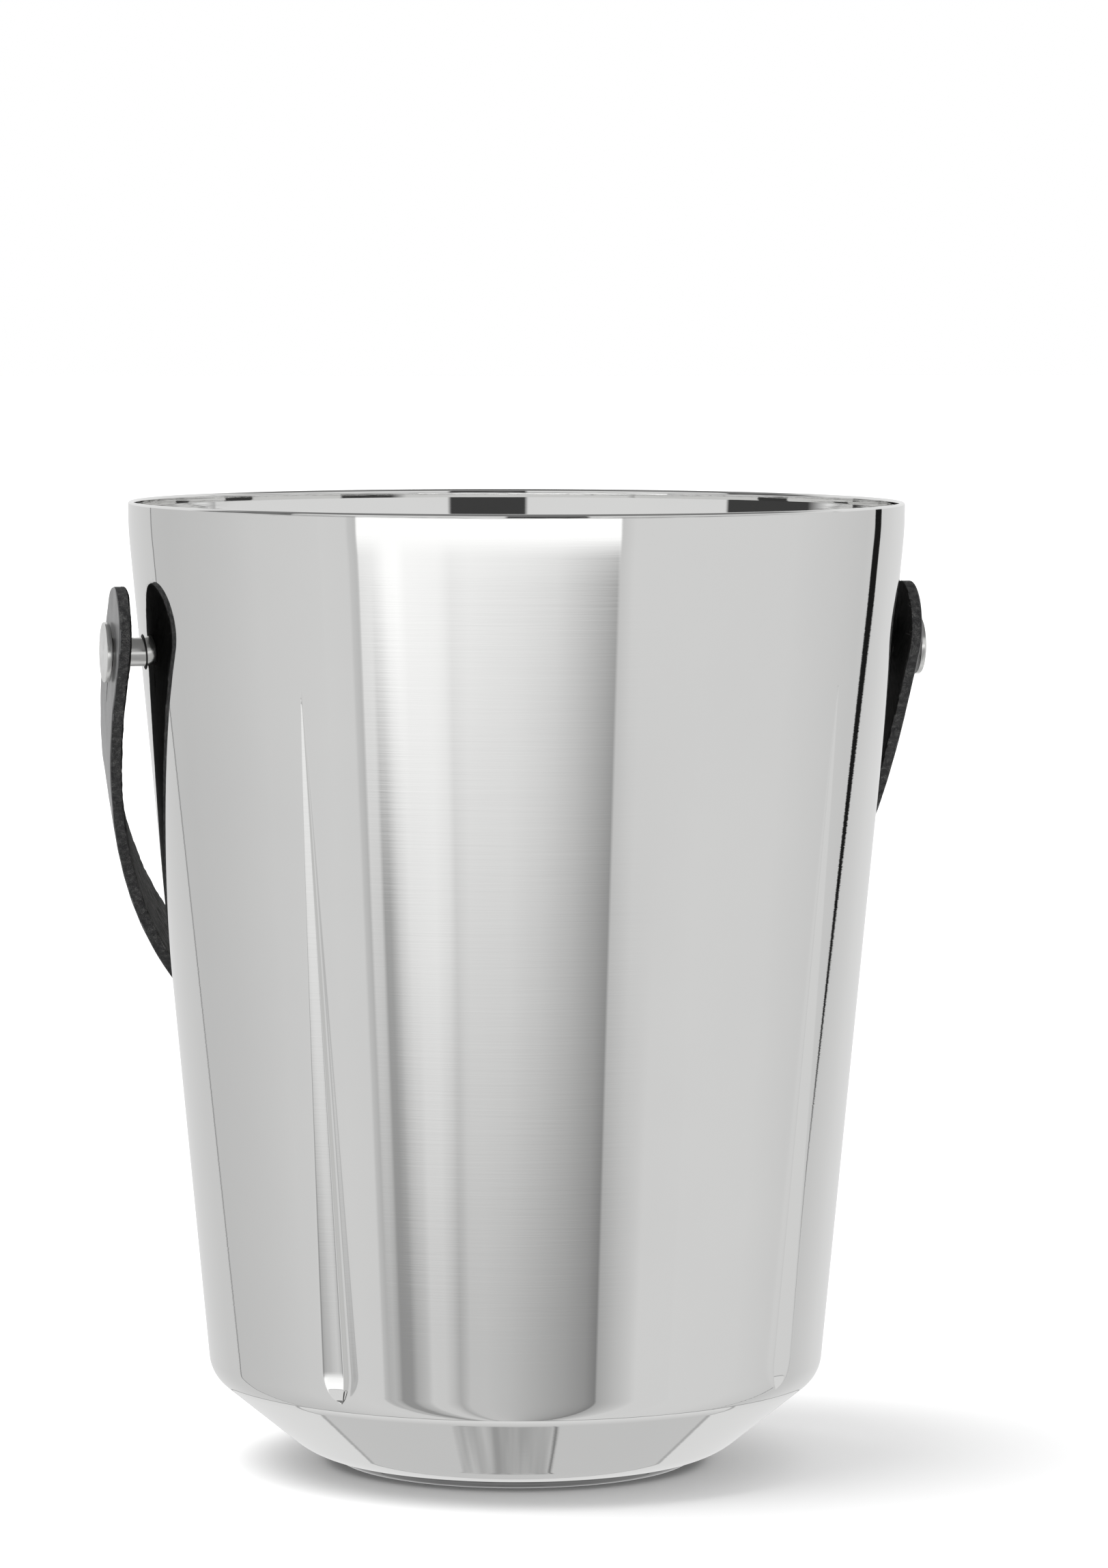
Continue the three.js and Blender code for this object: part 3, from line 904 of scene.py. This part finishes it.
def camera():
    lens = bpy.data.cameras.new("camera")
    lens.lens = CAMERA_LENS
    lens.sensor_width = 36
    lens.clip_start = 0.05
    lens.clip_end = 50
    piece = bpy.data.objects.new("camera", lens)
    bpy.context.scene.collection.objects.link(piece)
    place = Matrix.Translation((
        -CAMERA_DISTANCE * math.sin(CAMERA_AZIMUTH),
        -CAMERA_DISTANCE * math.cos(CAMERA_AZIMUTH),
        CAMERA_HEIGHT,
    ))
    heading = Matrix.Rotation(-CAMERA_AZIMUTH - CAMERA_YAW, 4, "Z")
    pitch = Matrix.Rotation(math.pi / 2 - CAMERA_PITCH, 4, "X")
    roll = Matrix.Rotation(CAMERA_ROLL, 4, "Z")
    piece.matrix_world = place @ heading @ pitch @ roll
    bpy.context.scene.camera = piece


def floor():
    size = 20
    corners = [(-size, -size, 0), (size, -size, 0), (size, size, 0), (-size, size, 0)]
    mesh = bpy.data.meshes.new("floor")
    mesh.from_pydata(corners, [], [(0, 1, 2, 3)])
    mesh.materials.append(floor_material())
    piece = bpy.data.objects.new("floor", mesh)
    piece.visible_glossy = False
    bpy.context.scene.collection.objects.link(piece)


def sun(name, azimuth, elevation, angle, strength):
    """A wide, soft light from an angle round from the camera."""
    lamp = bpy.data.lights.new(name, "SUN")
    lamp.angle = math.radians(angle)
    lamp.energy = strength
    piece = bpy.data.objects.new(name, lamp)
    bpy.context.scene.collection.objects.link(piece)
    a = math.radians(azimuth) - CAMERA_AZIMUTH
    e = math.radians(elevation)
    towards = Vector((math.sin(a) * math.cos(e), -math.cos(a) * math.cos(e), math.sin(e)))
    piece.rotation_euler = (-towards).to_track_quat("-Z", "Y").to_euler()
    piece.visible_glossy = False
    return piece


# Brightness of the studio round the bucket, by the angle round from the camera in degrees.
# Behind and beside it is even; in front it differs for what the top, the middle and the
# foot of the wall look out on.
AROUND_SIDES = [
    (-180, 0.80), (-168, 0.75), (-150, 0.71), (-136, 0.68), (-108, 0.68), (-80, 0.71),
    (-55, 0.75), (55, 0.76), (90, 0.75), (112, 0.70), (127, 0.66), (150, 0.75), (168, 0.77),
    (180, 0.80),
]
FRONT = 60
# How deep the top, the middle and the foot of the wall look, in degrees below level, and
# the degrees the wall's own taper adds straight ahead.
TOP_DEPTH = 2.6
MIDDLE_DEPTH = 5.4
FOOT_DEPTH = 9.2
TAPER_DIP = 10.8
# A line from the camera dips by this share of its length, and runs ahead by this.
VIEW_DIP = 0.172
VIEW_AHEAD = 0.985
# Lean at which the pale floor begins.
FLOOR_LEAN = 0.325
FRONT_TOP = [
    (-60, 0.75), (-50.9, 0.74), (-50.2, 0.66), (-47.9, 0.60), (-47.4, 0.92), (-43, 1.00),
    (-39, 1.22), (-36, 1.25), (-33, 1.14), (-24, 1.10), (-19.5, 0.99), (-14, 1.02), (2, 0.93),
    (12, 0.84), (20, 0.68), (27, 0.53), (30.2, 0.44), (30.7, 0.66), (35, 0.76), (60, 0.76),
]
FRONT_MIDDLE = [
    (-60, 0.74), (-50.9, 0.73), (-50.2, 0.62), (-48.2, 0.54), (-47.6, 0.76), (-44.3, 0.72),
    (-43.2, 0.42), (-41.2, 0.44), (-38, 0.76), (-34.5, 0.93), (-26, 0.97), (-22, 0.90),
    (-19.6, 0.76), (-15, 0.83), (-2, 0.81), (8, 0.72), (18, 0.58), (26, 0.43), (30.2, 0.34),
    (30.7, 0.62), (38, 0.73), (60, 0.76),
]
FRONT_FOOT = [
    (-60, 0.74), (-50.9, 0.73), (-50.2, 0.60), (-48.4, 0.52), (-46, 0.55), (-44.2, 0.46),
    (-43, 0.33), (-39, 0.34), (-36.8, 0.48), (-33, 0.58), (-31, 0.70), (-26, 0.69),
    (-23, 0.60), (-20.6, 0.48), (-17, 0.62), (-11, 0.62), (-2, 0.57), (8, 0.49), (18, 0.41),
    (26, 0.33), (30.2, 0.24), (30.7, 0.44), (37, 0.57), (43, 0.68), (46, 0.75), (60, 0.75),
]


def ramp(tree, value, stops, reach=180):
    """Grey levels at angles from minus a reach to plus it."""
    node = put(tree, "ShaderNodeValToRGB", {0: fit(tree, value, -reach, reach, 0, 1)})
    stairs = node.color_ramp
    while len(stairs.elements) < len(stops):
        stairs.elements.new(0.5)
    for element, (angle, level) in zip(stairs.elements, stops):
        element.position = (angle + reach) / (2 * reach)
        element.color = (level, level, level, 1)
    return node.outputs[0]


def band(tree, value, centre, half_width, soft):
    """One inside a band about a centre, falling to zero over a soft edge."""
    off = maths(tree, "ABSOLUTE", maths(tree, "SUBTRACT", value, centre))
    inside = maths(tree, "SUBTRACT", half_width, off)
    return fit(tree, inside, -soft, soft, 0, 1)


def grey(level):
    return (level, level, level, 1)


def studio_world():
    world = bpy.data.worlds.new("studio")
    world.use_nodes = True
    bpy.context.scene.world = world
    tree = world.node_tree
    background = tree.nodes["Background"]
    direction = tree.nodes.new("ShaderNodeTexCoord").outputs["Generated"]
    inputs = {"Vector": direction, "Angle": CAMERA_AZIMUTH}
    turned = put(tree, "ShaderNodeVectorRotate", inputs, rotation_type="Z_AXIS").outputs[0]
    x, y, z = put(tree, "ShaderNodeSeparateXYZ", {0: turned}).outputs
    around = maths(tree, "ARCTAN2", x, maths(tree, "MULTIPLY", y, -1))
    degrees = maths(tree, "DEGREES", around)

    # How far down the wall's reflection looks, apart from what the wall's own taper adds.
    down = maths(tree, "MULTIPLY", maths(tree, "DEGREES", maths(tree, "ARCSINE", z)), -1)
    facing = maths(tree, "COSINE", maths(tree, "MULTIPLY", around, 0.5))
    depth = maths(tree, "SUBTRACT", down, maths(tree, "MULTIPLY", facing, TAPER_DIP))

    seam = fit(tree, depth, 2.5, 9.3, -137.5, -127)
    past_seam = fit(tree, maths(tree, "SUBTRACT", degrees, seam), 0, 0.3, 0, 1)
    shaded = maths(tree, "MULTIPLY", past_seam, fit(tree, degrees, -125, -84, 1, 0))
    sides = mix(tree, shaded, ramp(tree, degrees, AROUND_SIDES), grey(0.61))
    sides = mix(tree, band(tree, degrees, seam, 0.35, 0.2), sides, grey(0.25))
    panel = fit(tree, depth, 2.5, 9.3, 134.5, 121.5)
    panel_width = fit(tree, depth, 2.6, 7.2, 2.5, 0.32)
    panel_grey = fit(tree, depth, 6.2, 8.5, 0.012, 0.12)
    sides = mix(tree, band(tree, degrees, panel, panel_width, 0.2), sides, panel_grey)

    front = mix(tree, fit(tree, depth, TOP_DEPTH, MIDDLE_DEPTH, 0, 1),
                ramp(tree, degrees, FRONT_TOP, FRONT), ramp(tree, degrees, FRONT_MIDDLE, FRONT))
    front = mix(tree, fit(tree, depth, MIDDLE_DEPTH, FOOT_DEPTH, 0, 1),
                front, ramp(tree, degrees, FRONT_FOOT, FRONT))
    in_front = maths(tree, "LESS_THAN", maths(tree, "ABSOLUTE", degrees), FRONT)
    level = mix(tree, in_front, sides, front)
    near_rim = maths(tree, "MULTIPLY", fit(tree, depth, 3.0, -4, 0, 1),
                     band(tree, degrees, -8.4, 39.1, 0.3))
    level = mix(tree, near_rim, level, grey(1.25))

    # Under the bucket the shoulder and the cone look down on the pale floor. Lean is the
    # squared sine of a surface's tip from upright, if it sends a line from the camera this way.
    drop = maths(tree, "ADD", z, VIEW_DIP)
    ahead = maths(tree, "SUBTRACT", maths(tree, "MULTIPLY", z, VIEW_DIP),
                  maths(tree, "MULTIPLY", y, VIEW_AHEAD))
    lean = maths(tree, "DIVIDE", maths(tree, "MULTIPLY", drop, drop),
                 maths(tree, "MULTIPLY", maths(tree, "ADD", ahead, 1), 2))
    lean = maths(tree, "MULTIPLY", lean, maths(tree, "LESS_THAN", drop, 0))
    below = fit(tree, lean, FLOOR_LEAN, FLOOR_LEAN + 0.01, 0, 1)
    floor_level = mix(tree, fit(tree, lean, 0.35, 0.56, 0, 1), grey(0.82), grey(0.63))
    patch = maths(tree, "MULTIPLY", band(tree, x, -0.02, 0.115, 0.004),
                  band(tree, y, 0.40, 0.075, 0.012))
    wavy = noise(tree, stretched(tree, turned, (26, 5, 5)), 1.0, 2)
    wavy = fit(tree, wavy, 0.3, 0.7, 0.36, 0.58)
    floor_level = mix(tree, patch, floor_level, wavy)
    floor_level = mix(tree, maths(tree, "MULTIPLY", patch, band(tree, x, 0.09, 0.004, 0.003)),
                      floor_level, grey(0.26))
    rim_of_floor = band(tree, down, 44, 0.5, 0.3)
    outer = fit(tree, down, 44.5, 43.5, 0, 1)
    behind = fit(tree, y, 0.4, 0.5, 0, 1)
    floor_level = mix(tree, maths(tree, "MULTIPLY", outer, behind), floor_level, grey(0.80))
    floor_level = mix(tree, maths(tree, "MULTIPLY", rim_of_floor, behind), floor_level, grey(0.45))
    level = mix(tree, below, level, floor_level)
    beside = fit(tree, maths(tree, "ABSOLUTE", maths(tree, "ADD", degrees, 8)), 40, 48, 0.3, 1)
    edge_line = maths(tree, "MULTIPLY", band(tree, lean, 0.328, 0.008, 0.005), beside)
    level = mix(tree, edge_line, level, grey(0.34))

    # Above: dark, with two soft boxes in front, for what is mirrored; pale for what is lit.
    box = maths(tree, "MAXIMUM", band(tree, degrees, 64, 43, 0.6), band(tree, degrees, -36, 33, 0.6))
    box = maths(tree, "MULTIPLY", box, band(tree, down, -13.5, 12, 0.5))
    over = mix(tree, fit(tree, down, -10, -18, 0, 1), grey(0.055), grey(0.22))
    over = mix(tree, box, over, grey(0.80))
    backdrop = fit(tree, maths(tree, "ABSOLUTE", degrees), 102, 112, 0, 1)
    backdrop = maths(tree, "MULTIPLY", backdrop, fit(tree, down, -34, -46, 1, 0))
    over = mix(tree, backdrop, over, grey(0.85))
    path = tree.nodes.new("ShaderNodeLightPath").outputs
    over = mix(tree, path["Is Glossy Ray"], grey(1.1), over)
    level = mix(tree, fit(tree, down, -0.8, -1.6, 0, 1), level, over)
    tree.links.new(mix(tree, path["Is Camera Ray"], level, grey(1)), background.inputs["Color"])


# ---- scene -------------------------------------------------------------------------------

camera()
studio_world()
floor()
sun("sun", SUN_AZIMUTH, SUN_ELEVATION, SUN_ANGLE, SUN_STRENGTH)
bpy.context.scene.view_settings.view_transform = "Standard"

steel = polished_steel("polished_steel", (0.83, 0.83, 0.82, 1), (0.79, 0.79, 0.785, 1))
# Painted shade: the foot's steel is tinted dark grey (0.22 to 0.15, against 0.83 for the body) to
# stand in for the dark contact shadow that the foot mirrors.
foot_steel = polished_steel("foot_steel", (0.22, 0.22, 0.22, 1), (0.15, 0.15, 0.15, 1))
turned = turned_steel()
rubber = black_rubber()
grain = leather_grain()
flesh = leather_flesh()
edge = leather_edge()

outer_shell(steel)
inner_liner(steel)
base_cap(foot_steel)
for side, sign in (("left", -1), ("right", 1)):
    stud(f"{side}_stud", sign, turned, f"stud_{side}")
    stud_bush(f"{side}_bush", sign, rubber, f"stud_bush_{side}")
    frame["nodes"][f"stud_nut_{side}"].data.materials.clear()
    frame["nodes"][f"stud_nut_{side}"].data.materials.append(turned)
strap(grain, flesh, edge)
strap_fibres(edge)
